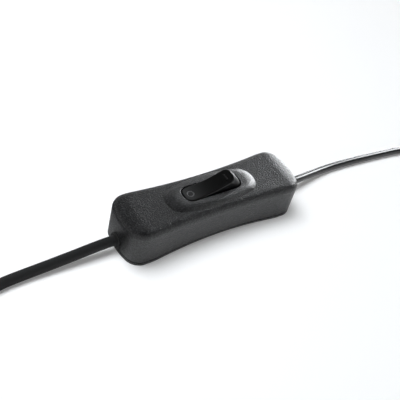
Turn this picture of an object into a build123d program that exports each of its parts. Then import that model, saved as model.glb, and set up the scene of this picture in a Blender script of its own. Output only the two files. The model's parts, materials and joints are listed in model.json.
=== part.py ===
"""In-line rocker switch on a two-core low-voltage lead, with its socket and plug.

Millimetres, +Z up. The origin is under the middle of the casing, on the surface that it lies on.
+X runs along the casing towards the thinner cord, and the viewer's side is -Y.
At rest the rocker's -X end is pressed (off) and its +X end is raised.
"""
from build123d import *
import math
import os

os.makedirs("parts", exist_ok=True)

# Casing
casing_length = 66.4
casing_width = 19.3
waist_width = 17.1
casing_height = 14.4
shoulder_place = 25.0
shoulder_radius = 20.0
end_bulge = 1.9
corner_radius = 5.1
top_edge_radius = 2.4
top_dip = 0.5
crown_place = 27.0
crown_radius = 13.0
crown_turn = 38.0
underside_rise = 1.2
landing_length = 10.0
seam_height_end = 1.3
seam_height_waist = 0.9
seam_groove_height = 0.35
seam_groove_depth = 0.4
wall = 1.6
top_wall = 1.8
floor_top = 3.0
base_clearance = 0.15

# Boss and slot around the rocker
boss_length = 34.4
boss_width = 13.7
boss_height = 1.35
boss_root = 0.4
boss_edge_turn = 32.0
boss_levels = 4
rim_length = 25.6
rim_width = 9.6
oval_side_bow = 0.146
oval_end_bow = 0.05
oval_corner = 0.36
slot_length = 21.8
slot_width = 6.6
slot_corner_radius = 2.7
slot_edge_radius = 0.25

# Rocker
rocker_radius = 11.7
rocker_corner_radius = 2.2
rocker_side_clearance = 0.3
rocker_end_clearance = 0.3
half_throw = 13.3
pivot_depth = 5.45
pressed_recess = 0.15
rocker_end_depth = 6.2
rocker_edge_radius = 0.4
trunnion_diameter = 2.6
trunnion_clearance = 0.06
trunnion_recess = 0.1
pivot_rib_thickness = 1.6
pivot_rib_setback = 0.1
pivot_rib_length = 7.2
pivot_rib_margin = 1.3
hub_length = 4.8
hub_drop = 2.4
mark_size = 2.5
mark_line = 0.4
mark_depth = 0.15
mark_place = 6.6

# Plunger and spring
spring_bore = 3.0
spring_roof = 3.0
plunger_clearance = 0.08
plunger_body_length = 1.4
plunger_neck = 0.3
spigot_diameter = 1.3
spigot_length = 0.9
spring_wire = 0.35
spring_mean_diameter = 2.1
spring_pitch = 0.75
tip_radius = 1.0
tip_gap = 0.02

# Contact lever and terminals
strip_thickness = 0.6
strip_width = 4.4
lever_length = 18.0
lever_width = 3.6
lever_thickness = 0.5
lever_half_throw = 5.5
lug_diameter = 1.0
lug_clearance = 0.06
ear_thickness = 0.6
ear_gap = 0.2
ear_length = 3.2
ear_margin = 0.5
contact_place = 7.5
contact_diameter = 2.4
contact_height = 0.45
contact_dome_radius = 3.0
contact_gap = 0.04
rivet_shank_diameter = 1.2
rivet_margin = 1.6
stop_place = 8.2
stop_length = 1.0
stop_width = 3.0
stop_gap = 0.05
terminal_place = 14.5
terminal_margin = 2.9
neutral_offset = 4.9
neutral_strip_width = 3.6
terminal_screw_diameter = 2.0
terminal_head_diameter = 3.6
terminal_head_height = 1.4
terminal_screw_depth = 1.1
screw_slot_width = 0.5
screw_slot_depth = 0.6
screw_fit = 0.02
screw_end_gap = 0.2

# Casing screws
case_screw_place = 15.0
case_screw_offset = 5.2
case_screw_diameter = 2.2
case_screw_hole = 2.6
case_screw_length = 8.0
case_head_diameter = 4.0
case_head_height = 0.8
case_head_clearance = 0.1
case_head_seat = 2.1
case_boss_diameter = 4.4
case_boss_gap = 0.05

# Cords and their clamps
supply_diameter = 3.4
supply_core_diameter = 1.3
lamp_diameter = 2.7
lamp_core_diameter = 1.1
conductor_diameter = 0.9
conductor_gap = 0.05
core_straight = 1.9
core_bend_radius = 3.0
cord_fit = 0.02
clamp_inset = 6.0
clamp_length = 3.2
clamp_width = 14.0
clamp_thickness = 2.0
clamp_split = 0.4
clamp_screw_spacing = 10.0
clamp_post_diameter = 3.6
clamp_screw_diameter = 2.0
clamp_head_diameter = 3.6
clamp_head_height = 1.2
clamp_screw_depth = 3.0
sheath_stub = 3.0
stripped_length = 3.1
bush_wall = 0.55
bush_flange = 0.35
bush_flange_thickness = 0.7
bush_flange_radius = 0.3
bush_collar = 0.6
bush_collar_length = 1.0
bush_clearance = 0.05
bush_seat_clearance = 0.3

# Hanks, ties and the far ends of the cords
bend_share = 0.45
hank_run = 56.0
hank_fold_ratio = 3.0
hank_turns = 2
supply_hank_side = -7.9
lamp_hank_side = -6.0
tie_thickness = 0.5
tie_width = 4.0
tie_clearance = 0.15
relief_length = 9.0
relief_wall = 0.6
relief_root_wall = 1.6
end_edge_radius = 0.8
socket_diameter = 9.6
socket_length = 17.0
socket_bore = 6.4
socket_depth = 10.0
socket_sleeve_wall = 0.3
socket_pin_diameter = 2.0
socket_pin_inset = 1.0
plug_diameter = 9.0
plug_length = 14.0
barrel_diameter = 5.5
barrel_length = 9.5
barrel_bore = 4.3
barrel_root = 3.0
barrel_root_diameter = 4.9
barrel_setoff = 0.4
insulator_bore = 2.1

# Levels and places that follow from the sizes above
half_length = casing_length / 2
top_middle = casing_height - top_dip
rim_height = top_middle + boss_height
pivot_height = rim_height - pivot_depth
half_slot = slot_width / 2
rocker_half_width = half_slot - rocker_side_clearance
throw = math.radians(half_throw)
lever_throw = math.radians(lever_half_throw)
strip_top = floor_top + strip_thickness
cord_height = strip_top + conductor_diameter / 2
contact_top = strip_top + contact_height
lever_pivot_height = (
    contact_top + contact_gap + contact_place * math.sin(lever_throw)
    + (contact_height + lever_thickness / 2) * math.cos(lever_throw)
)
clamp_place = half_length - clamp_inset
sheath_end = clamp_place - sheath_stub
conductor_start = terminal_place + stripped_length
conductor_end = terminal_place - terminal_head_diameter / 2
wire_offset = terminal_screw_diameter / 2 + conductor_gap + conductor_diameter / 2
exit_place = half_length + bush_flange_thickness
seam_height_middle = underside_rise + seam_height_waist
inner_top = casing_height - top_wall

# Each end of the lead: which way it runs, its sheath and its cores
ends = {
    "supply": {"side": -1, "cord": supply_diameter, "core": supply_core_diameter},
    "lamp": {"side": 1, "cord": lamp_diameter, "core": lamp_core_diameter},
}

# Each cord's route from its bush to its hank, and its tail from the hank to the connector inside it.
# A place is the distance out from the bush, the sideways drift and the height of the cord's middle.
supply_rest = socket_diameter / 2
lamp_rest = plug_diameter / 2
supply_hank_start = tie_thickness + supply_diameter / 2
lamp_hank_start = tie_thickness + lamp_diameter / 2
supply_hank_middle = supply_hank_side + hank_fold_ratio * supply_diameter
lamp_hank_middle = lamp_hank_side + hank_fold_ratio * lamp_diameter
routes = {
    "supply": {
        "run": [
            (0, 0, cord_height),
            (4.6, 0, cord_height),
            (13.1, 0.05, 3.1),
            (22.6, 0.15, 2.2),
            (32.6, 0.05, 1.75),
            (38.6, -0.5, 1.75),
            (46.1, -3.3, 1.85),
            (53.1, -6.6, 2.1),
            (58.1, supply_hank_side, supply_hank_start),
        ],
        "tail": [
            (58.1, supply_hank_side, supply_hank_start + hank_turns * supply_diameter),
            (66.6, -7.6, 8.7),
            (75.1, -3.0, 6.9),
            (83.1, supply_hank_middle, supply_rest),
            (91.6, supply_hank_middle, supply_rest),
        ],
    },
    "lamp": {
        "run": [
            (0, 0, cord_height),
            (4.6, 0, cord_height),
            (13.1, 1.35, 2.6),
            (21.6, 2.35, 1.6),
            (30.1, 2.4, 1.4),
            (40.1, 1.8, 1.37),
            (50.1, 0.9, 1.37),
            (58.1, 0.1, 1.4),
            (66.1, -1.5, 1.45),
            (73.1, -3.9, 1.55),
            (78.6, -5.5, 1.75),
            (82.3, lamp_hank_side, lamp_hank_start),
        ],
        "tail": [
            (82.3, lamp_hank_side, lamp_hank_start + hank_turns * lamp_diameter),
            (89.3, -5.7, 7.05),
            (96.1, -2.1, 5.9),
            (102.9, lamp_hank_middle, lamp_rest),
            (109.4, lamp_hank_middle, lamp_rest),
        ],
    },
}


def route_points(name, stretch):
    """The points of one stretch of a cord, carried out from its bush."""
    side = ends[name]["side"]
    return [(side * (exit_place + out), drift, height) for out, drift, height in routes[name][stretch]]


# The rocker's own plan and side planes, turned by half the throw about its pivot
rocker_axis = (-math.sin(throw), 0, math.cos(throw))
rocker_plan = Plane((0, 0, pivot_height), x_dir=(math.cos(throw), 0, math.sin(throw)), z_dir=rocker_axis)
rocker_side = Plane((0, 0, pivot_height), x_dir=(math.cos(throw), 0, math.sin(throw)), z_dir=(0, -1, 0))
crest_turn = math.asin((pivot_depth - pressed_recess) / rocker_radius) + throw
crest = rocker_radius * math.sin(crest_turn)
dish_radius = rocker_radius * math.cos(crest_turn) / math.sin(throw)
dish_bottom = crest - dish_radius * (1 - math.cos(throw))
rocker_bottom = crest - rocker_end_depth
trunnion_axis = Axis((0, 0, pivot_height), (0, 1, 0))
plunger_tip = -(pivot_height - lever_pivot_height - lever_thickness / 2 - tip_gap)
plunger_shoulder = plunger_tip + tip_radius + plunger_neck
plunger_top = plunger_shoulder + plunger_body_length
spring_roof_height = dish_bottom - spring_roof

# The lever's own plan plane, turned the other way about the fulcrum
lever_plan = Plane(
    (0, 0, lever_pivot_height),
    x_dir=(math.cos(lever_throw), 0, -math.sin(lever_throw)),
    z_dir=(math.sin(lever_throw), 0, math.cos(lever_throw)),
)


def save(builder, name):
    """Labels a finished piece and writes it as its own file."""
    builder.part.label = name
    export_step(builder.part, f"parts/{name}.step")


def across_x(place, height, offset_y=0.0):
    """A plane square to the X axis, for round pieces on a cord's line."""
    return Plane((place, offset_y, height), x_dir=(0, 1, 0), z_dir=(1, 0, 0))


def level_edge(height):
    """A long straight edge of the casing's side view, past both ends."""
    reach = half_length + wall
    Line((-reach, height), (reach, height))


def arched_edge(end_height, waist_height):
    """A long edge with a level landing at each end and an arc between them."""
    reach = half_length + wall
    landing = half_length - landing_length
    Line((-reach, end_height), (-landing, end_height))
    ThreePointArc((-landing, end_height), (0, waist_height), (landing, end_height))
    Line((landing, end_height), (reach, end_height))


def dipped_edge(end_height, middle_height):
    """A long edge that is one shallow arc; returns its height past the ends."""
    reach = half_length + wall
    reach_height = middle_height + (end_height - middle_height) * (reach / half_length) ** 2
    ThreePointArc((-reach, reach_height), (0, middle_height), (reach, reach_height))
    return reach_height


def close_ends(low, high):
    """The two short edges that close a side view past the casing's ends."""
    reach = half_length + wall
    Line((-reach, low), (-reach, high))
    Line((reach, low), (reach, high))


def crowned_edge(middle_height):
    """A shallow dip that bends down towards both ends; returns where it stops past them."""
    crown_height = middle_height + top_dip * (crown_place / half_length) ** 2
    dip = ThreePointArc((-crown_place, crown_height), (0, middle_height), (crown_place, crown_height))
    left = JernArc(dip @ 0, -(dip % 0), crown_radius, crown_turn)
    right = JernArc(dip @ 1, dip % 1, crown_radius, -crown_turn)
    return left @ 1, right @ 1


def oval(length, width):
    """Outline of the boss at one level: bowed sides and ends that meet at corners."""
    corner_x = length * (0.5 - oval_end_bow)
    corner_y = width * (0.5 - oval_side_bow)
    ThreePointArc((-corner_x, -corner_y), (0, -width / 2), (corner_x, -corner_y))
    ThreePointArc((corner_x, -corner_y), (length / 2, 0), (corner_x, corner_y))
    ThreePointArc((corner_x, corner_y), (0, width / 2), (-corner_x, corner_y))
    ThreePointArc((-corner_x, corner_y), (-length / 2, 0), (-corner_x, -corner_y))


def disc_section(radius, half_width, corner):
    """Half section of a disc with rounded corners about the rocker's trunnions."""
    inner = radius - corner
    flat = half_width - corner
    Polyline((inner, half_width), (0, half_width), (0, -half_width), (inner, -half_width))
    RadiusArc((inner, -half_width), (radius, -flat), -corner)
    Line((radius, -flat), (radius, flat))
    RadiusArc((radius, flat), (inner, half_width), -corner)


def mark_plane(side):
    """A plane that touches the rocker's dished top where one of its marks is."""
    turn = math.asin(mark_place / dish_radius)
    slope = throw + side * turn
    height = dish_bottom + dish_radius * (1 - math.cos(turn))
    return Plane(
        rocker_side.from_local_coords((side * mark_place, height, 0)),
        x_dir=(math.cos(slope), 0, math.sin(slope)),
        z_dir=(-math.sin(slope), 0, math.cos(slope)),
    )


def bend_radii(points):
    """One radius for each corner of a route: as large as its two runs allow."""
    radii = []
    for before, corner, after in zip(points, points[1:], points[2:]):
        arriving = Vector(corner) - Vector(before)
        leaving = Vector(after) - Vector(corner)
        half_turn = math.radians(arriving.get_angle(leaving)) / 2
        radii.append(bend_share * min(arriving.length, leaving.length) / math.tan(half_turn))
    return radii


def tube(points, diameter, radii):
    """A round tube along straight runs joined by tangent arcs."""
    with BuildPart() as piece:
        with BuildLine() as route:
            FilletPolyline(*points, radius=radii)
        start = Plane(route.line @ 0, z_dir=route.line % 0)
        with BuildSketch(start):
            Circle(diameter / 2)
        sweep(path=route.wires()[0])
    return piece


def pan_screw(spot, tip, seat, diameter, head_diameter, head_height):
    """A slotted screw that stands upright with its head above its seat."""
    with BuildPart() as screw:
        with BuildSketch(Plane(spot).offset(tip)):
            Circle(diameter / 2)
        extrude(amount=seat - tip)
        with BuildSketch(Plane(spot).offset(seat)):
            Circle(head_diameter / 2)
        extrude(amount=head_height)
        fillet(screw.faces().sort_by(Axis.Z)[-1].edges(), head_height / 4)
        with BuildSketch(Plane(spot).offset(seat + head_height)):
            Rectangle(head_diameter * 2, screw_slot_width)
        extrude(amount=-screw_slot_depth, mode=Mode.SUBTRACT)
    return screw


# Plan of the casing: sides hollowed between level shoulders, bulged ends, rounded corners
corner_place = half_length - end_bulge
with BuildSketch() as casing_plan:
    with BuildLine():
        for edge_y, waist_y in ((-casing_width / 2, -waist_width / 2), (casing_width / 2, waist_width / 2)):
            Line((-corner_place, edge_y), (-shoulder_place, edge_y))
            ThreePointArc((-shoulder_place, edge_y), (0, waist_y), (shoulder_place, edge_y))
            Line((shoulder_place, edge_y), (corner_place, edge_y))
        for side in (-1, 1):
            ThreePointArc(
                (side * corner_place, -casing_width / 2),
                (side * half_length, 0),
                (side * corner_place, casing_width / 2),
            )
    make_face()
    fillet(casing_plan.vertices().group_by(lambda vertex: abs(vertex.X))[0], shoulder_radius)
    fillet(casing_plan.vertices().group_by(lambda vertex: abs(vertex.X))[-1], corner_radius)

with BuildSketch() as cavity_plan:
    add(casing_plan.sketch)
    offset(amount=-wall)

with BuildSketch() as groove_plan:
    add(casing_plan.sketch)
    offset(amount=-seam_groove_depth)

with BuildSketch() as floor_plan:
    add(casing_plan.sketch)
    offset(amount=-(wall + base_clearance))

# Space inside the casing, below its top wall
with BuildPart() as cavity:
    extrude(cavity_plan.sketch, amount=casing_height)
    with BuildSketch(Plane.XZ):
        with BuildLine():
            level_edge(0)
            close_ends(0, dipped_edge(inner_top, inner_top - top_dip))
        make_face()
    extrude(amount=casing_width, both=True, mode=Mode.INTERSECT)

case_screw_spots = [(side * case_screw_place, -case_screw_offset) for side in (-1, 1)]
rib_outer = half_slot + pivot_rib_setback + pivot_rib_thickness
rib_bottom = pivot_height - trunnion_diameter / 2 - pivot_rib_margin
rib_centre = rib_outer - pivot_rib_thickness / 2
roof_middle = top_middle - top_wall / 2
boss_edge = math.radians(boss_edge_turn)
boss_reach = boss_height * math.sin(boss_edge) / (1 - math.cos(boss_edge))
boss_spread = boss_root / math.tan(boss_edge) / boss_reach
boss_steps = [(-boss_root, -boss_spread)]
for level in range(boss_levels + 1):
    turn = boss_edge * (1 - level / boss_levels)
    rise = boss_height * (math.cos(turn) - math.cos(boss_edge)) / (1 - math.cos(boss_edge))
    boss_steps.append((rise, 1 - math.sin(turn) / math.sin(boss_edge)))

# Upper casing: the deep shell with its boss and slot, pivot ribs, screw bosses and cord notches
with BuildPart() as upper_casing:
    extrude(casing_plan.sketch, amount=casing_height + wall)
    with BuildSketch(Plane.XZ):
        with BuildLine():
            arched_edge(seam_height_end, seam_height_middle)
            left_stop, right_stop = crowned_edge(top_middle)
            Line(left_stop, (-half_length - wall, seam_height_end))
            Line(right_stop, (half_length + wall, seam_height_end))
        make_face()
    extrude(amount=casing_width, both=True, mode=Mode.INTERSECT)
    top_faces = upper_casing.faces().filter_by(lambda face: face.normal_at().Z > 0.5)
    fillet(top_faces.edges().filter_by(Axis.Y, reverse=True), top_edge_radius)
    for rise, share in boss_steps:
        step_width = boss_width + (rim_width - boss_width) * share
        with BuildSketch(Plane.XY.offset(top_middle + rise)) as boss_step:
            with BuildLine():
                oval(boss_length + (rim_length - boss_length) * share, step_width)
            make_face()
            fillet(boss_step.vertices(), oval_corner * step_width)
    loft()
    add(cavity.part, mode=Mode.SUBTRACT)
    with BuildSketch(Plane.XY.offset(rim_height + boss_height)):
        RectangleRounded(slot_length, slot_width, slot_corner_radius)
    extrude(amount=-(2 * boss_height + top_wall + top_dip), mode=Mode.SUBTRACT)
    fillet(upper_casing.faces().sort_by(Axis.Z)[-1].inner_wires()[0].edges(), slot_edge_radius)
    with BuildSketch(Plane.XY.offset(pivot_height)):
        with BuildLine():
            disc_section(
                rocker_radius + rocker_end_clearance, half_slot, rocker_corner_radius + rocker_side_clearance
            )
        make_face()
    revolve(axis=trunnion_axis, mode=Mode.SUBTRACT)
    with BuildSketch(Plane.XY.offset(rib_bottom)):
        with Locations((0, -rib_centre), (0, rib_centre)):
            Rectangle(pivot_rib_length, pivot_rib_thickness)
    extrude(amount=roof_middle - rib_bottom)
    with BuildSketch(Plane.XY.offset(floor_top + case_boss_gap)):
        with Locations(*case_screw_spots):
            Circle(case_boss_diameter / 2)
    extrude(amount=roof_middle - floor_top - case_boss_gap)
    with BuildSketch(Plane.XY.offset(floor_top)):
        with Locations(*case_screw_spots):
            Circle(case_screw_diameter / 2 + screw_fit)
    extrude(amount=case_head_seat + case_screw_length + screw_end_gap - floor_top, mode=Mode.SUBTRACT)
    with BuildSketch(Plane.XZ):
        with Locations((0, pivot_height)):
            Circle(trunnion_diameter / 2 + trunnion_clearance)
    extrude(amount=rib_outer + pivot_rib_setback, both=True, mode=Mode.SUBTRACT)
    for end in ends.values():
        notch = end["cord"] / 2 + bush_wall + bush_clearance
        with BuildSketch(across_x(end["side"] * half_length, cord_height)):
            Circle(notch)
            Rectangle(2 * notch, cord_height, align=(Align.CENTER, Align.MAX))
        extrude(amount=2 * wall, both=True, mode=Mode.SUBTRACT)
save(upper_casing, "upper_casing")

# Floor of the lower casing, which plugs into the upper one
with BuildPart() as base_floor:
    extrude(floor_plan.sketch, amount=floor_top)
    with BuildSketch(Plane.XZ):
        with BuildLine():
            arched_edge(0, underside_rise)
            level_edge(casing_height)
            close_ends(0, casing_height)
        make_face()
    extrude(amount=casing_width, both=True, mode=Mode.INTERSECT)

# Land of the lower casing that the upper one stands on, set back behind the seam groove
with BuildPart() as seam_land:
    extrude(groove_plan.sketch, amount=casing_height)
    with BuildSketch(Plane.XZ):
        with BuildLine():
            arched_edge(0, underside_rise)
            arched_edge(seam_height_end, seam_height_middle)
            close_ends(0, seam_height_end)
        make_face()
    extrude(amount=casing_width, both=True, mode=Mode.INTERSECT)

terminal_spots = {
    "live_in": (-terminal_place, 0),
    "live_out": (terminal_place, 0),
    "neutral_in": (-terminal_place, neutral_offset),
    "neutral_out": (terminal_place, neutral_offset),
}

# Lower casing: the visible edge, the floor, clamp posts, cord saddles and screw holes
edge_height_end = seam_height_end - seam_groove_height
with BuildPart() as lower_casing:
    extrude(casing_plan.sketch, amount=casing_height)
    with BuildSketch(Plane.XZ):
        with BuildLine():
            arched_edge(0, underside_rise)
            arched_edge(edge_height_end, seam_height_middle - seam_groove_height)
            close_ends(0, edge_height_end)
        make_face()
    extrude(amount=casing_width, both=True, mode=Mode.INTERSECT)
    add(seam_land.part)
    add(base_floor.part)
    for end in ends.values():
        saddle = end["cord"] / 2 + bush_wall + bush_clearance
        with BuildSketch(Plane.XY.offset(seam_height_end / 2)):
            add(casing_plan.sketch)
            add(cavity_plan.sketch, mode=Mode.SUBTRACT)
            with Locations((end["side"] * half_length, 0)):
                Rectangle(4 * wall, 2 * saddle - 2 * base_clearance, mode=Mode.INTERSECT)
        extrude(amount=cord_height - seam_height_end / 2)
        with BuildSketch(across_x(end["side"] * half_length, cord_height)):
            Circle(saddle)
        extrude(amount=wall + bush_seat_clearance, both=True, mode=Mode.SUBTRACT)
        with BuildSketch(across_x(end["side"] * (half_length - wall), cord_height)):
            Circle(saddle + bush_collar)
        extrude(amount=-end["side"] * (bush_collar_length + 2 * bush_seat_clearance), mode=Mode.SUBTRACT)
        with BuildSketch(across_x(end["side"] * half_length, cord_height)):
            Circle(end["cord"] / 2 + cord_fit)
        extrude(amount=-end["side"] * (half_length - sheath_end + wall), mode=Mode.SUBTRACT)
        with BuildSketch(Plane.XY.offset(floor_top)):
            with Locations((end["side"] * clamp_place, 0)):
                with GridLocations(1, clamp_screw_spacing, 1, 2):
                    Circle(clamp_post_diameter / 2)
        extrude(amount=cord_height + clamp_split - floor_top)
        with BuildSketch(Plane.XY.offset(cord_height + clamp_split)):
            with Locations((end["side"] * clamp_place, 0)):
                with GridLocations(1, clamp_screw_spacing, 1, 2):
                    Circle(clamp_screw_diameter / 2 + screw_fit)
        extrude(amount=-(clamp_screw_depth + screw_end_gap), mode=Mode.SUBTRACT)
    with BuildSketch(Plane.XY.offset(floor_top)):
        with Locations(*terminal_spots.values()):
            Circle(terminal_screw_diameter / 2 + screw_fit)
    extrude(amount=-(terminal_screw_depth + screw_end_gap), mode=Mode.SUBTRACT)
    with BuildSketch():
        with Locations(*case_screw_spots):
            Circle(case_screw_hole / 2)
    extrude(amount=floor_top, mode=Mode.SUBTRACT)
    with BuildSketch():
        with Locations(*case_screw_spots):
            Circle(case_head_diameter / 2 + case_head_clearance)
    extrude(amount=case_head_seat, mode=Mode.SUBTRACT)
save(lower_casing, "lower_casing")

# Rocker: slice of a round-rimmed disc with a dished top, hub, trunnions, spring bore and the two marks
with BuildPart() as rocker:
    with BuildSketch(Plane.XY.offset(pivot_height)):
        with BuildLine():
            disc_section(rocker_radius, rocker_half_width, rocker_corner_radius)
        make_face()
    revolve(axis=trunnion_axis)
    with BuildSketch(rocker_side):
        past_end = rocker_radius + wall
        past_height = dish_bottom + dish_radius - math.sqrt(dish_radius**2 - past_end**2)
        with BuildLine():
            ThreePointArc((-past_end, past_height), (0, dish_bottom), (past_end, past_height))
            Polyline(
                (past_end, past_height),
                (past_end, rocker_bottom),
                (-past_end, rocker_bottom),
                (-past_end, past_height),
            )
        make_face()
    extrude(amount=slot_width, both=True, mode=Mode.INTERSECT)
    dished_face = rocker.faces().sort_by_distance(rocker_side.from_local_coords((0, dish_bottom, 0)))[0]
    fillet(dished_face.edges(), rocker_edge_radius)
    with BuildSketch(rocker_plan.offset(-hub_drop)):
        Rectangle(hub_length, 2 * rocker_half_width)
    extrude(amount=hub_drop + rocker_bottom + rocker_end_depth / 4)
    with BuildSketch(rocker_side):
        Circle(trunnion_diameter / 2)
    extrude(amount=rib_outer - trunnion_recess, both=True)
    with BuildSketch(rocker_plan.offset(-hub_drop)):
        Circle(spring_bore / 2)
    extrude(amount=hub_drop + spring_roof_height, mode=Mode.SUBTRACT)
    with BuildSketch(mark_plane(-1)):
        Circle(mark_size / 2)
        Circle(mark_size / 2 - mark_line, mode=Mode.SUBTRACT)
    extrude(amount=mark_depth, both=True, mode=Mode.SUBTRACT)
    with BuildSketch(mark_plane(1)):
        Rectangle(mark_line, mark_size)
    extrude(amount=mark_depth, both=True, mode=Mode.SUBTRACT)
save(rocker, "rocker")

# Plunger: round-nosed pin in the rocker's bore, with a spigot for the spring
plunger_radius = spring_bore / 2 - plunger_clearance
with BuildPart() as plunger:
    with BuildSketch(rocker_side):
        with BuildLine():
            nose = RadiusArc((0, plunger_tip), (tip_radius, plunger_tip + tip_radius), -tip_radius)
            Polyline(
                nose @ 1,
                (tip_radius, plunger_shoulder),
                (plunger_radius, plunger_shoulder),
                (plunger_radius, plunger_top),
                (spigot_diameter / 2, plunger_top),
                (spigot_diameter / 2, plunger_top + spigot_length),
                (0, plunger_top + spigot_length),
                nose @ 0,
            )
        make_face()
    revolve(axis=Axis((0, 0, pivot_height), rocker_axis))
save(plunger, "plunger")

# Spring between the plunger's shoulder and the roof of the bore
spring_start = plunger_top + spring_wire / 2
spring_height = spring_roof_height - spring_wire / 2 - spring_start
with BuildPart() as plunger_spring:
    with BuildLine() as spring_line:
        Helix(
            pitch=spring_pitch,
            height=spring_height,
            radius=spring_mean_diameter / 2,
            center=rocker_plan.offset(spring_start).origin,
            direction=rocker_axis,
        )
    with BuildSketch(Plane(spring_line.line @ 0, z_dir=spring_line.line % 0)):
        Circle(spring_wire / 2)
    sweep(path=spring_line.wires()[0], is_frenet=True)
save(plunger_spring, "plunger_spring")

# Contact lever: a brass see-saw with two side lugs
ear_inner = lever_width / 2 + ear_gap
with BuildPart() as contact_lever:
    with BuildSketch(lever_plan.offset(-lever_thickness / 2)):
        Rectangle(lever_length, lever_width)
        with Locations((-contact_place, 0)):
            Circle(rivet_shank_diameter / 2 + screw_fit, mode=Mode.SUBTRACT)
    extrude(amount=lever_thickness)
    with BuildSketch(Plane.XZ):
        with Locations((0, lever_pivot_height)):
            Circle(lug_diameter / 2)
        with Locations((0, lever_pivot_height + lug_diameter / 2)):
            Rectangle(lug_diameter, lug_diameter - lever_thickness, mode=Mode.SUBTRACT)
    extrude(amount=ear_inner + ear_thickness, both=True)
save(contact_lever, "contact_lever")

with BuildPart() as lever_contact:
    with BuildSketch(lever_plan.offset(-lever_thickness / 2)):
        with Locations((-contact_place, 0)):
            Circle(contact_diameter / 2)
    extrude(amount=-contact_height)
    with BuildSketch(lever_plan.offset(-lever_thickness / 2)):
        with Locations((-contact_place, 0)):
            Circle(rivet_shank_diameter / 2)
    extrude(amount=lever_thickness)
save(lever_contact, "lever_contact")

# Live input terminal with its fixed, domed contact
with BuildPart() as input_terminal:
    outer_end = terminal_place + terminal_margin
    inner_end = contact_place - rivet_margin
    with BuildSketch(Plane.XY.offset(floor_top)):
        with Locations((-(outer_end + inner_end) / 2, 0)):
            Rectangle(outer_end - inner_end, strip_width)
        with Locations((-terminal_place, 0)):
            Circle(terminal_screw_diameter / 2 + screw_fit, mode=Mode.SUBTRACT)
        with Locations((-contact_place, 0)):
            Circle(rivet_shank_diameter / 2 + screw_fit, mode=Mode.SUBTRACT)
    extrude(amount=strip_thickness)
save(input_terminal, "input_terminal")

with BuildPart() as fixed_contact:
    dome_rise = math.sqrt(contact_dome_radius**2 - (contact_diameter / 2) ** 2)
    dome_edge = contact_top - contact_dome_radius + dome_rise
    with BuildSketch(Plane.XZ.move(Location((-contact_place, 0, 0)))):
        with BuildLine():
            Polyline(
                (0, contact_top),
                (0, floor_top),
                (rivet_shank_diameter / 2, floor_top),
                (rivet_shank_diameter / 2, strip_top),
                (contact_diameter / 2, strip_top),
                (contact_diameter / 2, dome_edge),
            )
            RadiusArc((0, contact_top), (contact_diameter / 2, dome_edge), contact_dome_radius)
        make_face()
    revolve(axis=Axis((-contact_place, 0, 0), (0, 0, 1)))
save(fixed_contact, "fixed_contact")

# Live output terminal: strip with two fulcrum ears and the lever's rest
ear_top = lever_pivot_height + lug_diameter / 2 + ear_margin
rest_edge = stop_place + stop_length / 2
rest_top = (
    lever_pivot_height - rest_edge * math.tan(lever_throw)
    - lever_thickness / 2 / math.cos(lever_throw) - stop_gap
)
with BuildPart() as output_terminal:
    with BuildSketch(Plane.XY.offset(floor_top)):
        with Locations((-ear_length / 2, 0)):
            Rectangle(ear_length / 2 + outer_end, strip_width, align=(Align.MIN, Align.CENTER))
        with Locations((terminal_place, 0)):
            Circle(terminal_screw_diameter / 2 + screw_fit, mode=Mode.SUBTRACT)
    extrude(amount=strip_thickness)
    with BuildSketch(Plane.XY.offset(floor_top)):
        with GridLocations(1, 2 * ear_inner + ear_thickness, 1, 2):
            Rectangle(ear_length, ear_thickness)
    extrude(amount=ear_top - floor_top)
    with BuildSketch(Plane.XY.offset(strip_top)):
        with Locations((stop_place, 0)):
            Rectangle(stop_length, stop_width)
    extrude(amount=rest_top - strip_top)
    with BuildSketch(Plane.XZ):
        with Locations((0, lever_pivot_height)):
            Circle(lug_diameter / 2 + lug_clearance)
    extrude(amount=ear_inner + 2 * ear_thickness, both=True, mode=Mode.SUBTRACT)
save(output_terminal, "output_terminal")

with BuildPart() as neutral_link:
    with BuildSketch(Plane.XY.offset(floor_top)):
        with Locations((0, neutral_offset)):
            Rectangle(2 * outer_end, neutral_strip_width)
            with GridLocations(2 * terminal_place, 1, 2, 1):
                Circle(terminal_screw_diameter / 2 + screw_fit, mode=Mode.SUBTRACT)
    extrude(amount=strip_thickness)
save(neutral_link, "neutral_link")

# Terminal screws, each clamping one bare conductor beside its shank
clamped_top = strip_top + conductor_diameter + conductor_gap
for name, spot in terminal_spots.items():
    terminal_screw = pan_screw(
        (*spot, 0), floor_top - terminal_screw_depth, clamped_top,
        terminal_screw_diameter, terminal_head_diameter, terminal_head_height,
    )
    save(terminal_screw, f"terminal_screw_{name}")

# Casing screws, put in from below
for name, spot in zip(("left", "right"), case_screw_spots):
    with BuildPart() as case_screw:
        with BuildSketch(Plane((*spot, case_head_seat))):
            Circle(case_screw_diameter / 2)
        extrude(amount=case_screw_length)
        with BuildSketch(Plane((*spot, case_head_seat))):
            Circle(case_head_diameter / 2)
        extrude(amount=-case_head_height)
        with BuildSketch(Plane((*spot, case_head_seat - case_head_height))):
            Rectangle(case_head_diameter * 2, screw_slot_width)
            Rectangle(screw_slot_width, case_head_diameter * 2)
            Circle(case_head_diameter / 3, mode=Mode.INTERSECT)
        extrude(amount=screw_slot_depth, mode=Mode.SUBTRACT)
        chamfer(case_screw.faces().sort_by(Axis.Z)[-1].edges(), case_screw_diameter / 4)
    save(case_screw, f"case_screw_{name}")

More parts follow.
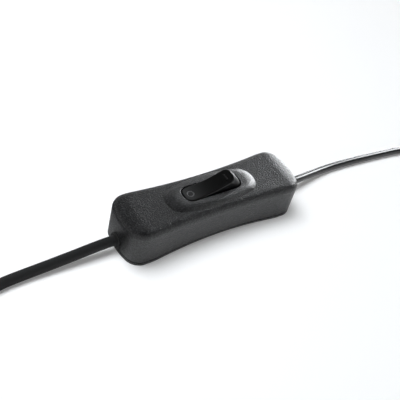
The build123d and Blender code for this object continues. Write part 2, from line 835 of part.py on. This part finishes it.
# What each cord has inside the casing: bush, sheath end, cores, bare ends, clamp bar and its screws
for name, end in ends.items():
    side = end["side"]
    cord_radius = end["cord"] / 2
    bush_radius = cord_radius + bush_wall
    collar_face = half_length - wall - bush_seat_clearance

    with BuildPart() as cord_bush:
        with BuildSketch(across_x(side * half_length, cord_height)):
            Circle(bush_radius + bush_flange)
        extrude(amount=side * bush_flange_thickness)
        flange_face = cord_bush.faces().sort_by(Axis.X)[-1 if side > 0 else 0]
        fillet(flange_face.edges(), bush_flange_radius)
        with BuildSketch(across_x(side * half_length, cord_height)):
            Circle(bush_radius)
        extrude(amount=-side * (wall + bush_seat_clearance))
        with BuildSketch(across_x(side * collar_face, cord_height)):
            Circle(bush_radius + bush_collar)
        extrude(amount=-side * bush_collar_length)
        with BuildSketch(across_x(side * exit_place, cord_height)):
            Circle(cord_radius + cord_fit)
        extrude(amount=-side * (exit_place - collar_face + bush_collar_length), mode=Mode.SUBTRACT)
    save(cord_bush, f"{name}_cord_bush")

    with BuildPart() as sheath:
        with BuildSketch(across_x(side * sheath_end, cord_height)):
            Circle(cord_radius)
        extrude(amount=side * (exit_place - sheath_end))
    save(sheath, f"{name}_cord_end")

    core_offset = end["core"] / 2 + conductor_gap
    lands = {"live": (-core_offset, -wire_offset), "neutral": (core_offset, neutral_offset - wire_offset)}
    for wire, (start_y, land_y) in lands.items():
        core_points = [
            (side * sheath_end, start_y, cord_height),
            (side * (sheath_end - core_straight), start_y, cord_height),
            (side * (conductor_start + core_straight), land_y, cord_height),
            (side * conductor_start, land_y, cord_height),
        ]
        save(tube(core_points, end["core"], core_bend_radius), f"{name}_{wire}_core")
        with BuildPart() as conductor:
            with BuildSketch(across_x(side * conductor_start, cord_height, land_y)):
                Circle(conductor_diameter / 2)
            extrude(amount=-side * (conductor_start - conductor_end))
        save(conductor, f"{name}_{wire}_conductor")

    bar_bottom = cord_height + clamp_split
    bar_top = cord_height + cord_radius + clamp_thickness
    with BuildPart() as clamp_bar:
        with BuildSketch(Plane.XY.offset(bar_bottom)):
            with Locations((side * clamp_place, 0)):
                Rectangle(clamp_length, clamp_width)
                with GridLocations(1, clamp_screw_spacing, 1, 2):
                    Circle(clamp_screw_diameter / 2 + screw_fit, mode=Mode.SUBTRACT)
        extrude(amount=bar_top - bar_bottom)
        with BuildSketch(across_x(side * clamp_place, cord_height)):
            Circle(cord_radius + cord_fit)
        extrude(amount=clamp_length, both=True, mode=Mode.SUBTRACT)
    save(clamp_bar, f"{name}_clamp_bar")

    for place, offset_y in (("near", -clamp_screw_spacing / 2), ("far", clamp_screw_spacing / 2)):
        clamp_screw = pan_screw(
            (side * clamp_place, offset_y, 0), bar_bottom - clamp_screw_depth, bar_top,
            clamp_screw_diameter, clamp_head_diameter, clamp_head_height,
        )
        save(clamp_screw, f"{name}_clamp_screw_{place}")

# Free cords: the run along the surface, the tied oval hank and the tail to the far end
for name, end in ends.items():
    for stretch in ("run", "tail"):
        points = route_points(name, stretch)
        radii = bend_radii(points)
        print(name, stretch, "bend radii", [round(radius) for radius in radii])
        save(tube(points, end["cord"], radii), f"{name}_cord_{stretch}")

    fold_radius = hank_fold_ratio * end["cord"]
    hank_start = Vector(*route_points(name, "run")[-1])
    hank_place = hank_start.X + end["side"] * hank_run / 2
    hank_height = (hank_turns + 1) * end["cord"]
    with BuildPart() as cord_hank:
        with BuildSketch(Plane((hank_place, hank_start.Y + fold_radius, tie_thickness))):
            SlotCenterToCenter(hank_run, 2 * fold_radius + end["cord"])
            SlotCenterToCenter(hank_run, 2 * fold_radius - end["cord"], mode=Mode.SUBTRACT)
        extrude(amount=hank_height)
    save(cord_hank, f"{name}_cord_hank")

    band_width = end["cord"] + 2 * tie_clearance
    band_height = hank_height + tie_clearance
    band_middle = tie_thickness + band_height / 2
    with BuildPart() as cord_tie:
        with BuildSketch(across_x(hank_place, band_middle, hank_start.Y + 2 * fold_radius)):
            Rectangle(band_width + 2 * tie_thickness, band_height + 2 * tie_thickness)
            Rectangle(band_width, band_height, mode=Mode.SUBTRACT)
        extrude(amount=tie_width / 2, both=True)
    save(cord_tie, f"{name}_cord_tie")


def tapered_body(side, cord, diameter, length):
    """Half section of a moulded end: a tapered strain relief that grows into a round body."""
    root = cord / 2 + relief_root_wall
    Polyline(
        (0, 0),
        (0, cord / 2 + relief_wall),
        (side * relief_length, root),
        (side * relief_length, diameter / 2),
        (side * (relief_length + length), diameter / 2),
        (side * (relief_length + length), 0),
        (0, 0),
    )


# Barrel socket at the end of the supply cord
socket_place = Vector(*route_points("supply", "tail")[-1])
socket_axis = Axis(socket_place, (1, 0, 0))
socket_mouth = socket_place.X - relief_length - socket_length
with BuildPart() as socket_body:
    with BuildSketch(Plane(socket_place, x_dir=(1, 0, 0), z_dir=(0, -1, 0))):
        with BuildLine():
            tapered_body(-1, supply_diameter, socket_diameter, socket_length)
        make_face()
    revolve(axis=socket_axis)
    fillet(socket_body.edges().filter_by(GeomType.CIRCLE).group_by(SortBy.RADIUS)[-1], end_edge_radius)
    with BuildSketch(across_x(socket_mouth, socket_place.Z, socket_place.Y)):
        Circle(socket_bore / 2)
    extrude(amount=socket_depth, mode=Mode.SUBTRACT)
save(socket_body, "socket_body")

with BuildPart() as socket_sleeve:
    with BuildSketch(across_x(socket_mouth + socket_depth, socket_place.Z, socket_place.Y)):
        Circle(socket_bore / 2 - screw_fit)
        Circle(socket_bore / 2 - screw_fit - socket_sleeve_wall, mode=Mode.SUBTRACT)
    extrude(amount=-(socket_depth - socket_pin_inset / 2))
save(socket_sleeve, "socket_sleeve")

with BuildPart() as socket_pin:
    with BuildSketch(across_x(socket_mouth + socket_depth, socket_place.Z, socket_place.Y)):
        Circle(socket_pin_diameter / 2)
    extrude(amount=-(socket_depth - socket_pin_inset))
    fillet(socket_pin.faces().sort_by(Axis.X)[0].edges(), socket_pin_diameter / 4)
save(socket_pin, "socket_pin")

# Barrel plug at the end of the lamp cord
plug_place = Vector(*route_points("lamp", "tail")[-1])
plug_axis = Axis(plug_place, (1, 0, 0))
plug_face = plug_place.X + relief_length + plug_length
with BuildPart() as plug_body:
    with BuildSketch(Plane(plug_place, x_dir=(1, 0, 0), z_dir=(0, -1, 0))):
        with BuildLine():
            tapered_body(1, lamp_diameter, plug_diameter, plug_length)
        make_face()
    revolve(axis=plug_axis)
    fillet(plug_body.edges().filter_by(GeomType.CIRCLE).group_by(SortBy.RADIUS)[-1], end_edge_radius)
    with BuildSketch(across_x(plug_face, plug_place.Z, plug_place.Y)):
        Circle(barrel_root_diameter / 2 + screw_fit)
    extrude(amount=-barrel_root, mode=Mode.SUBTRACT)
save(plug_body, "plug_body")

with BuildPart() as plug_barrel:
    with BuildSketch(across_x(plug_face - barrel_root, plug_place.Z, plug_place.Y)):
        Circle(barrel_root_diameter / 2)
    extrude(amount=barrel_root + barrel_setoff)
    with BuildSketch(across_x(plug_face + barrel_setoff, plug_place.Z, plug_place.Y)):
        Circle(barrel_diameter / 2)
    extrude(amount=barrel_length)
    with BuildSketch(across_x(plug_face - barrel_root, plug_place.Z, plug_place.Y)):
        Circle(barrel_bore / 2)
    extrude(amount=barrel_root + barrel_setoff + barrel_length, mode=Mode.SUBTRACT)
save(plug_barrel, "plug_barrel")

with BuildPart() as plug_insulator:
    with BuildSketch(across_x(plug_face - barrel_root, plug_place.Z, plug_place.Y)):
        Circle(barrel_bore / 2 - screw_fit)
        Circle(insulator_bore / 2, mode=Mode.SUBTRACT)
    extrude(amount=barrel_root + barrel_setoff + barrel_length)
save(plug_insulator, "plug_insulator")
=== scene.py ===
import json
import math

import bpy
from mathutils import Matrix, Vector


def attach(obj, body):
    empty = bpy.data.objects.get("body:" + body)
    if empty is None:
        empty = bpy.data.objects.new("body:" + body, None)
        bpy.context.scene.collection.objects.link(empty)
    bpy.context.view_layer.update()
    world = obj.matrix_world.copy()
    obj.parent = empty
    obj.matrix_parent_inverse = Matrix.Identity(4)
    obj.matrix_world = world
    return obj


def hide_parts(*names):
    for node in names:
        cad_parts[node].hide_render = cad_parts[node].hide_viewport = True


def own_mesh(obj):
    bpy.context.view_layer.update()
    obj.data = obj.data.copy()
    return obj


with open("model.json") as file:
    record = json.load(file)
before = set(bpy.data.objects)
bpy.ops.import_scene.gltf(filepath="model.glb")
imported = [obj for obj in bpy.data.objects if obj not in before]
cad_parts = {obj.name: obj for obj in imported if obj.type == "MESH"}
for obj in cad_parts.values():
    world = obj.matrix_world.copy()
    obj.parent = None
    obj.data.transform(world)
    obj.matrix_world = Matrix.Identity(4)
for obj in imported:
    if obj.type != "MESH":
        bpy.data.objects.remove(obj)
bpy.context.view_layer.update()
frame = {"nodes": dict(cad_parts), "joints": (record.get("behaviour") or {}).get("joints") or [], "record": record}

nodes = frame["nodes"]

# The part's sizes are in millimetres; those of the camera, floor and lamps are in metres
MM = 0.001
WHITE = (1, 1, 1, 1)


def grey(shade):
    return (shade, shade, shade, 1)


# Shader values as plain expressions, and the node trees that they belong to
class Value:
    """A number that changes over a surface; operators on it add Math nodes."""

    def __init__(self, shading, socket):
        self.shading = shading
        self.socket = socket

    def math(self, operation, first, second):
        return self.shading.node("Math", {"operation": operation}, {0: first, 1: second})

    def __add__(self, other):
        return self.math("ADD", self, other)

    def __radd__(self, other):
        return self.math("ADD", other, self)

    def __sub__(self, other):
        return self.math("SUBTRACT", self, other)

    def __rsub__(self, other):
        return self.math("SUBTRACT", other, self)

    def __mul__(self, other):
        return self.math("MULTIPLY", self, other)

    def __rmul__(self, other):
        return self.math("MULTIPLY", other, self)


class Shading:
    """A node tree, built up node by node."""

    def __init__(self, tree):
        self.tree = tree

    def node(self, kind, settings=None, inputs=None, output=0):
        """Adds a node with its settings and inputs, and gives one of its outputs."""
        made = self.tree.nodes.new("ShaderNode" + kind)
        for name, setting in (settings or {}).items():
            setattr(made, name, setting)
        for name, item in (inputs or {}).items():
            if isinstance(item, Value):
                self.tree.links.new(item.socket, made.inputs[name])
            else:
                made.inputs[name].default_value = item
        return Value(self, made.outputs[output])

    def ramp(self, value, none_at, full_at):
        """Nothing at one value, one at the other, and a straight change between them."""
        inputs = {"Value": value, "From Min": none_at, "From Max": full_at}
        return self.node("MapRange", inputs=inputs)

    def rays(self):
        """Whether a ray comes from the camera, from a reflection or through glass."""
        kinds = ("Camera", "Glossy", "Transmission")
        return [self.node("LightPath", output=f"Is {kind} Ray") for kind in kinds]

    def blend(self, amount, first, second):
        """One surface that turns into another by an amount."""
        return self.node("MixShader", inputs={0: amount, 1: first, 2: second})

    def show(self, surface, output):
        """Makes a surface the one that the tree gives out."""
        self.tree.links.new(surface.socket, self.tree.nodes[output].inputs["Surface"])


class Finish(Shading):
    """One material with a Principled shader."""

    def __init__(self, name, **constants):
        self.material = bpy.data.materials.new(name)
        self.material.use_nodes = True
        super().__init__(self.material.node_tree)
        self.shader = self.tree.nodes["Principled BSDF"]
        for socket, setting in constants.items():
            self.shader.inputs[socket.replace("_", " ")].default_value = setting

    def place(self):
        """Object coordinates."""
        return self.node("TexCoord", output="Object")

    def noise(self, size_mm, detail=2.0, where=None):
        """Cloudy variation whose patches are about that many millimetres across."""
        inputs = {
            "Vector": where or self.place(),
            "Scale": 1 / (size_mm * MM),
            "Detail": detail,
        }
        return self.node("TexNoise", inputs=inputs)

    def stretched(self, x, y, z):
        """Object coordinates, each times a number of its own."""
        return self.node("Mapping", inputs={"Vector": self.place(), "Scale": (x, y, z)})

    def levelled(self, place_mm, slope):
        """Object coordinates from a spot on the part, turned so that its sloped face is level."""
        inputs = {
            "Vector": self.place(),
            "Location": [MM * size for size in place_mm],
            "Rotation": (0, -math.radians(slope), 0),
        }
        return self.node("Mapping", {"vector_type": "TEXTURE"}, inputs)

    def plane_axes(self, where):
        """The two level coordinates of a place."""
        inputs = {"Vector": where}
        return [self.node("SeparateXYZ", inputs=inputs, output=axis) for axis in ("X", "Y")]

    def reach(self, where):
        """Distance from the upright axis through the origin."""
        flat = self.node("VectorMath", {"operation": "MULTIPLY"}, {0: where, 1: (1, 1, 0)})
        return self.node("VectorMath", {"operation": "LENGTH"}, {0: flat}, output="Value")

    def near(self, value, size_mm, margin_mm):
        """One where the value is within a margin of a size, and nothing elsewhere."""
        inputs = {0: value, 1: size_mm * MM, 2: margin_mm * MM}
        return self.node("Math", {"operation": "COMPARE"}, inputs)

    def feed(self, socket, value):
        """Links a value to a socket of the shader."""
        self.tree.links.new(value.socket, self.shader.inputs[socket])

    def tint(self, dark, light, amount):
        """Base colour between two shades."""
        inputs = {"Factor": amount, "A": (*dark, 1), "B": (*light, 1)}
        self.feed("Base Color", self.node("Mix", {"data_type": "RGBA"}, inputs, output="Result"))

    def bump(self, height, depth_mm, strength=1.0):
        """Fine relief, the last touch; gives the finished material."""
        inputs = {"Height": height, "Distance": depth_mm * MM, "Strength": strength}
        self.feed("Normal", self.node("Bump", inputs=inputs))
        return self.material


# Finishes; the boss and the marks have the sizes that they have in the solids
BOSS_LENGTH = 34.4
BOSS_WIDTH = 13.7

# Reach, in shares of the boss, at which its shine starts and is full; the boss ends at 0.5
THUMBED_FROM = 0.53
THUMBED_FULL = 0.48

# Height of the grain at which a speck starts to turn pale and is fully so
SPECK_FROM = 0.5143
SPECK_FULL = 0.6571


def grained_black():
    """Moulded casing: fine spark-eroded grain, uneven in shade, thumbed shiny on its boss."""
    finish = Finish("grained_black", Specular_IOR_Level=0.5, Coat_Roughness=0.42)
    grain = finish.noise(0.36, detail=0.0)
    cloud = finish.noise(6.0)
    speck = finish.ramp(grain, SPECK_FROM, SPECK_FULL)
    boss_shares = finish.stretched(1 / (BOSS_LENGTH * MM), 1 / (BOSS_WIDTH * MM), 0)
    thumbed = finish.ramp(finish.reach(boss_shares), THUMBED_FROM, THUMBED_FULL)
    shade = 0.85 * speck + 0.15 * cloud
    finish.tint((0.0045, 0.0045, 0.0048), (0.030, 0.0304, 0.0315), shade)
    finish.feed("Roughness", 0.36 - 0.08 * speck + 0.06 * cloud)
    finish.feed("Coat Weight", 0.5 * thumbed)
    return finish.bump(grain, 0.14)


MARK_SIZE = 2.5
MARK_LINE = 0.4
RING_RADIUS = (MARK_SIZE - MARK_LINE) / 2
RING_PLACE = (-8.052, 0, 15.173)
RING_SLOPE = 3.51
BAR_PLACE = (4.794, 0, 18.21)
BAR_SLOPE = 23.09


def polished_black():
    """Rocker: smooth, with faint moulding ripples, handling haze and painted highlight on its two marks."""
    finish = Finish("polished_black", Specular_IOR_Level=0.5)
    haze = finish.noise(2.4, detail=3.0)
    ripple = finish.noise(1.6)
    from_ring = finish.reach(finish.levelled(RING_PLACE, RING_SLOPE))
    ring = finish.near(from_ring, RING_RADIUS, MARK_LINE / 2)
    along, across = finish.plane_axes(finish.levelled(BAR_PLACE, BAR_SLOPE))
    bar = finish.near(along, 0, MARK_LINE / 2) * finish.near(across, 0, MARK_SIZE / 2)
    # Paler tint on the moulded ring, and faintly on the bar, is painted highlight: the light that their edges
    # catch
    shade = 0.015 * haze + 0.8 * ring + 0.15 * bar
    finish.tint((0.0012, 0.0012, 0.0012), (0.12, 0.12, 0.122), shade)
    finish.feed("Roughness", 0.24 + 0.12 * haze + 0.2 * ring)
    return finish.bump(ripple, 0.006, strength=0.5)


def soft_rubber():
    """Bushes: matt black rubber."""
    finish = Finish("soft_rubber", Specular_IOR_Level=0.35)
    dust = finish.noise(0.5, detail=4.0)
    finish.tint((0.010, 0.010, 0.010), (0.020, 0.020, 0.020), dust)
    finish.feed("Roughness", 0.55 + 0.2 * dust)
    return finish.bump(dust, 0.02)


def matt_sheath():
    """Thick supply cord: matt sheath with faint lengthways drag marks."""
    finish = Finish("matt_sheath", Specular_IOR_Level=0.3)
    drag = finish.noise(0.4, detail=3.0, where=finish.stretched(0.08, 1, 1))
    cloud = finish.noise(9.0)
    finish.tint((0.010, 0.010, 0.0105), (0.017, 0.017, 0.0175), 0.5 * drag + 0.5 * cloud)
    finish.feed("Roughness", 0.5 + 0.15 * drag)
    return finish.bump(drag, 0.012, strength=0.6)


def glossy_sheath():
    """Thin lamp cord: shiny sheath, very slightly wavy over its cores."""
    finish = Finish("glossy_sheath", Specular_IOR_Level=0.5)
    wave = finish.noise(2.2, where=finish.stretched(0.25, 1, 1))
    finish.tint((0.010, 0.010, 0.011), (0.018, 0.018, 0.019), wave)
    finish.feed("Roughness", 0.14 + 0.12 * wave)
    return finish.bump(wave, 0.02, strength=0.5)


def connector_black():
    """Moulded connector bodies: satin black."""
    finish = Finish("connector_black", Specular_IOR_Level=0.45)
    grain = finish.noise(0.35, detail=3.0)
    finish.tint((0.013, 0.013, 0.0135), (0.022, 0.022, 0.0225), grain)
    finish.feed("Roughness", 0.38 + 0.15 * grain)
    return finish.bump(grain, 0.02, strength=0.7)


def tie_black():
    """Ties round the put-away cord."""
    finish = Finish("tie_black", Specular_IOR_Level=0.3)
    weave = finish.noise(0.3, where=finish.stretched(1, 1, 0.2))
    finish.tint((0.014, 0.014, 0.015), (0.028, 0.028, 0.029), weave)
    finish.feed("Roughness", 0.6 + 0.2 * weave)
    return finish.bump(weave, 0.04)


def ivory_plastic():
    """Clamp bars and plunger: natural moulded plastic."""
    finish = Finish("ivory_plastic", Specular_IOR_Level=0.5)
    cloud = finish.noise(1.8, detail=3.0)
    finish.tint((0.56, 0.53, 0.46), (0.66, 0.63, 0.56), cloud)
    finish.feed("Roughness", 0.4 + 0.15 * cloud)
    return finish.bump(cloud, 0.01, strength=0.4)


# Scales of a metal's grain along x, y and z; a small one draws it out that way
LENGTHWAYS = (0.05, 1, 1)
UPWARDS = (1, 1, 0.1)
EVERY_WAY = (1, 1, 1)


def sheet_metal(name, dark, light, roughness, scales):
    """Rolled, drawn or plated metal, with its fine grain drawn out into lines by the scales."""
    finish = Finish(name, Metallic=1.0)
    lines = finish.noise(0.12, detail=3.0, where=finish.stretched(*scales))
    tarnish = finish.noise(2.5, detail=4.0)
    finish.tint(dark, light, 0.35 * lines + 0.65 * tarnish)
    finish.feed("Roughness", roughness + 0.14 * lines + 0.08 * tarnish)
    return finish.bump(lines, 0.006, strength=0.5)


def core_insulation(name, dark, light):
    """Coloured core insulation."""
    finish = Finish(name, Specular_IOR_Level=0.5)
    cloud = finish.noise(1.2, detail=3.0)
    finish.tint(dark, light, cloud)
    finish.feed("Roughness", 0.3 + 0.15 * cloud)
    return finish.bump(cloud, 0.01, strength=0.4)


slot_finishes = {
    "casing": grained_black(),
    "rocker": polished_black(),
    "bush": soft_rubber(),
    "supply_cord": matt_sheath(),
    "lamp_cord": glossy_sheath(),
    "tie": tie_black(),
    "connector": connector_black(),
    "inner_plastic": ivory_plastic(),
    "brass": sheet_metal(
        "rolled_brass", (0.58, 0.40, 0.15), (0.78, 0.60, 0.28), 0.24, LENGTHWAYS
    ),
    "contact_metal": sheet_metal(
        "silver_contact", (0.72, 0.71, 0.68), (0.88, 0.87, 0.84), 0.2, EVERY_WAY
    ),
    "nickel": sheet_metal(
        "bright_nickel", (0.60, 0.58, 0.54), (0.76, 0.74, 0.70), 0.14, LENGTHWAYS
    ),
    "steel": sheet_metal(
        "zinc_steel", (0.46, 0.46, 0.47), (0.66, 0.66, 0.66), 0.28, UPWARDS
    ),
    "copper": sheet_metal(
        "drawn_copper", (0.60, 0.26, 0.13), (0.82, 0.42, 0.24), 0.26, LENGTHWAYS
    ),
    "brown_core": core_insulation("brown_core", (0.13, 0.05, 0.02), (0.20, 0.085, 0.035)),
    "blue_core": core_insulation("blue_core", (0.02, 0.09, 0.33), (0.04, 0.15, 0.46)),
}
for subpart in frame["record"]["subparts"]:
    piece = nodes[subpart["node"]]
    piece.data.materials.clear()
    piece.data.materials.append(slot_finishes[subpart["material_slot"]])


# Spring
def coil_spring():
    """The plunger's spring, as a copy carried by the rocker; nothing shortens it."""
    slide = next(joint for joint in frame["joints"] if joint["name"] == "plunger_slide")
    axis = Vector(slide["axis"])
    coil = bpy.data.objects.new("plunger_coil", nodes["plunger_spring"].data.copy())
    bpy.context.scene.collection.objects.link(coil)
    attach(coil, "rocker")
    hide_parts("plunger_spring")
    heights = [axis.dot(vertex.co) for vertex in coil.data.vertices]
    keep = 1 - slide["range_m"][1] / (max(heights) - min(heights))
    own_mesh(coil)


coil_spring()


# Cords: the route on the surface, the put-away turns and the tail, as one smooth line each
EXIT = 33.9
CORD_HEIGHT = 4.05
SUPPLY_DIAMETER = 3.4
LAMP_DIAMETER = 2.7
HANK_RUN = 56.0
HANK_TURNS = 2
FOLD_RATIO = 3.0
FOLD_STEPS = 6
RUN_STEPS = 3
CURVE_ORDER = 3
CURVE_STEPS = 10
ROUND_STEPS = 10


def hank_points(start, side, diameter):
    """The points of the oval turns, which start outwards along the run's own side."""
    fold = FOLD_RATIO * diameter
    half_lap = [(HANK_RUN * step / RUN_STEPS, 0) for step in range(RUN_STEPS)]
    for step in range(FOLD_STEPS):
        turned = math.pi * step / FOLD_STEPS
        half_lap.append((HANK_RUN + fold * math.sin(turned), fold - fold * math.cos(turned)))
    lap = half_lap + [(HANK_RUN - out, 2 * fold - across) for out, across in half_lap]
    points = []
    for step in range(1, HANK_TURNS * len(lap)):
        out, across = lap[step % len(lap)]
        rise = diameter * step / len(lap)
        points.append((start[0] + side * out, start[1] + across, start[2] + rise))
    return points


def lay_cord(name, side, diameter, run, tail):
    """One cord from its bush to its connector."""
    points = run + hank_points(run[-1], side, diameter) + tail
    line = bpy.data.curves.new(f"{name}_cord", "CURVE")
    line.dimensions = "3D"
    spline = line.splines.new("NURBS")
    spline.points.add(len(points) - 1)
    for control, point in zip(spline.points, points):
        control.co = (*(Vector(point) * MM), 1)
    spline.order_u = CURVE_ORDER
    spline.use_endpoint_u = True
    spline.resolution_u = CURVE_STEPS
    line.bevel_depth = diameter / 2 * MM
    line.bevel_resolution = ROUND_STEPS
    line.materials.append(slot_finishes[f"{name}_cord"])
    cord = bpy.data.objects.new(f"{name}_cord", line)
    bpy.context.scene.collection.objects.link(cord)
    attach(cord, "casing")
    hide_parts(f"{name}_cord_run", f"{name}_cord_hank", f"{name}_cord_tail")


supply_run = [
    (-EXIT, 0, CORD_HEIGHT),
    (-38.5, 0, CORD_HEIGHT),
    (-47.0, 0.05, 3.1),
    (-56.5, 0.15, 2.2),
    (-66.5, 0.05, 1.75),
    (-72.5, -0.5, 1.75),
    (-80.0, -3.3, 1.85),
    (-87.0, -6.6, 2.1),
    (-92.0, -7.9, 2.2),
]
supply_tail = [
    (-92.0, -7.9, 9.0),
    (-100.5, -7.6, 8.7),
    (-109.0, -3.0, 6.9),
    (-117.0, 2.3, 4.8),
    (-125.5, 2.3, 4.8),
]
lamp_run = [
    (EXIT, 0, CORD_HEIGHT),
    (38.5, 0, CORD_HEIGHT),
    (47.0, 1.35, 2.6),
    (55.5, 2.35, 1.6),
    (64.0, 2.4, 1.4),
    (74.0, 1.8, 1.37),
    (84.0, 0.9, 1.37),
    (92.0, 0.1, 1.4),
    (100.0, -1.5, 1.45),
    (107.0, -3.9, 1.55),
    (112.5, -5.5, 1.75),
    (116.2, -6.0, 1.85),
]
lamp_tail = [
    (116.2, -6.0, 7.25),
    (123.2, -5.7, 7.05),
    (130.0, -2.1, 5.9),
    (136.8, 2.1, 4.5),
    (143.3, 2.1, 4.5),
]
lay_cord("supply", -1, SUPPLY_DIAMETER, supply_run, supply_tail)
lay_cord("lamp", 1, LAMP_DIAMETER, lamp_run, lamp_tail)


# Camera
def aim_camera():
    """Camera at the photograph's viewing angle, fitted to the casing's outline."""
    picture_width = 400
    sensor_width = 36
    azimuth = math.radians(-44.81)
    elevation = math.radians(44.95)
    roll = math.radians(16.86)
    distance = 0.24536
    nearest = 0.01
    focal_pixels = 743.0
    subject = Vector((0, 0, 0.00683))
    subject_pixel = (6.1, 4.6)
    back = Vector((
        math.sin(azimuth) * math.cos(elevation),
        -math.cos(azimuth) * math.cos(elevation),
        math.sin(elevation),
    ))
    level = Vector((math.cos(azimuth), math.sin(azimuth), 0))
    upright = back.cross(level)
    right = math.cos(roll) * level + math.sin(roll) * upright
    up = -math.sin(roll) * level + math.cos(roll) * upright
    turn = Matrix((right, up, back)).transposed()
    sight = Vector((subject_pixel[0] / focal_pixels, -subject_pixel[1] / focal_pixels, -1))
    nudge = sight.rotation_difference(Vector((0, 0, -1))).to_matrix()
    lens = bpy.data.cameras.new("camera")
    lens.sensor_fit = "HORIZONTAL"
    lens.sensor_width = sensor_width
    lens.lens = focal_pixels / picture_width * sensor_width
    lens.clip_start = nearest
    camera = bpy.data.objects.new("camera", lens)
    bpy.context.scene.collection.objects.link(camera)
    place = Matrix.Translation(subject + back * distance)
    camera.matrix_world = place @ (turn @ nudge).to_4x4()
    bpy.context.scene.camera = camera


aim_camera()


# Floor, lamps and surroundings
FLOOR_SIZE = 6
FLOOR_DROP = 0.00002
FLOOR_SHADE = 0.82
FLOOR_LIFT = 0.2

# In reflections the floor turns dim behind a slanting line, from one distance to another
BEHIND_SHADE = 0.03
BEHIND_NORTH = 0.85
BEHIND_EAST = 0.4
BEHIND_FROM = 0.004
BEHIND_FULL = 0.03733

# Distance at which the floor that the camera sees starts to turn white and is fully so
FAR_FROM = 0.12
FAR_FULL = 0.45333


def lay_floor():
    """Pale floor, lifted where it is seen, white far off, dim behind the part in reflections."""
    bpy.ops.object.select_all(action="DESELECT")
    bpy.ops.mesh.primitive_plane_add(size=FLOOR_SIZE, location=(0, 0, -FLOOR_DROP))
    floor = bpy.context.object
    floor.name = "floor"
    finish = Finish("pale_floor")
    matt = finish.node("BsdfDiffuse", inputs={"Color": grey(FLOOR_SHADE)})
    dim = finish.node("BsdfDiffuse", inputs={"Color": grey(BEHIND_SHADE)})
    lift = finish.node("Emission", inputs={"Color": WHITE, "Strength": FLOOR_LIFT})
    white = finish.node("Emission", inputs={"Color": WHITE})
    lifted = finish.node("AddShader", inputs={0: matt, 1: lift})
    looked_at, mirrored, seen_through = finish.rays()
    east, north = finish.plane_axes(finish.place())
    back = BEHIND_NORTH * north - BEHIND_EAST * east
    behind = finish.ramp(back, BEHIND_FROM, BEHIND_FULL)
    far = finish.ramp(finish.reach(finish.place()), FAR_FROM, FAR_FULL)
    surface = finish.blend(looked_at + mirrored + seen_through, matt, lifted)
    surface = finish.blend(mirrored * behind, surface, dim)
    surface = finish.blend(looked_at * far, surface, white)
    finish.show(surface, "Material Output")
    finish.tree.nodes.remove(finish.shader)
    floor.data.materials.append(finish.material)


ROOM_SHADE = 0.05

# Upward share of a direction at which the room's white walls start and are full
WALL_FROM = 0.5
WALL_FULL = 0.3


def light_surroundings():
    """A dim room with white walls, which light nothing but are seen and mirrored."""
    world = bpy.data.worlds.new("surroundings")
    world.use_nodes = True
    shading = Shading(world.node_tree)
    shading.tree.nodes.remove(shading.tree.nodes["Background"])
    room = shading.node("Background", inputs={"Color": grey(ROOM_SHADE)})
    white = shading.node("Background", inputs={"Color": WHITE})
    looked_at, mirrored, seen_through = shading.rays()
    direction = shading.node("TexCoord", output="Generated")
    upwards = shading.node("SeparateXYZ", inputs={"Vector": direction}, output="Z")
    wall = shading.ramp(upwards, WALL_FROM, WALL_FULL)
    seen = (looked_at + mirrored + seen_through) * wall
    shading.show(shading.blend(seen, room, white), "World Output")
    bpy.context.scene.world = world


LIGHT_COLOUR = (0.95, 0.975, 1.0)
STRAIGHT_DOWN = (0, 0, 0)


def hang_lamp(name, place, watts, size, diffuse=True, glossy=True):
    """Soft lamp that faces the origin; it can be left out of matt or of shiny reflection."""
    lamp = bpy.data.lights.new(name, "AREA")
    lamp.shape = "RECTANGLE"
    lamp.size, lamp.size_y = size
    lamp.energy = watts
    lamp.color = LIGHT_COLOUR
    held = bpy.data.objects.new(name, lamp)
    bpy.context.scene.collection.objects.link(held)
    held.location = place
    held.rotation_euler = (-Vector(place)).to_track_quat("-Z", "Y").to_euler()
    held.visible_diffuse = diffuse
    held.visible_glossy = glossy
    return held


lay_floor()
light_surroundings()
hang_lamp("key_lamp", (-0.12, 0.16, 0.62), watts=5.2, size=(0.42, 0.42), glossy=False)
hang_lamp("high_lamp", (0.66, 0.59, 0.81), watts=0.9, size=(0.56, 0.56), diffuse=False)
hang_lamp("side_lamp", (0.56, 0.05, 0.20), watts=0.5, size=(0.30, 0.25), diffuse=False)
hang_lamp("low_lamp", (0.54, 0.27, 0.03), watts=2.1, size=(0.36, 0.06), diffuse=False)
strip_lamp = hang_lamp(
    "strip_lamp", (0.215, 0.03, 0.11), watts=0.55, size=(0.11, 0.08), diffuse=False
)
strip_lamp.rotation_euler = STRAIGHT_DOWN

bpy.context.scene.view_settings.view_transform = "Standard"
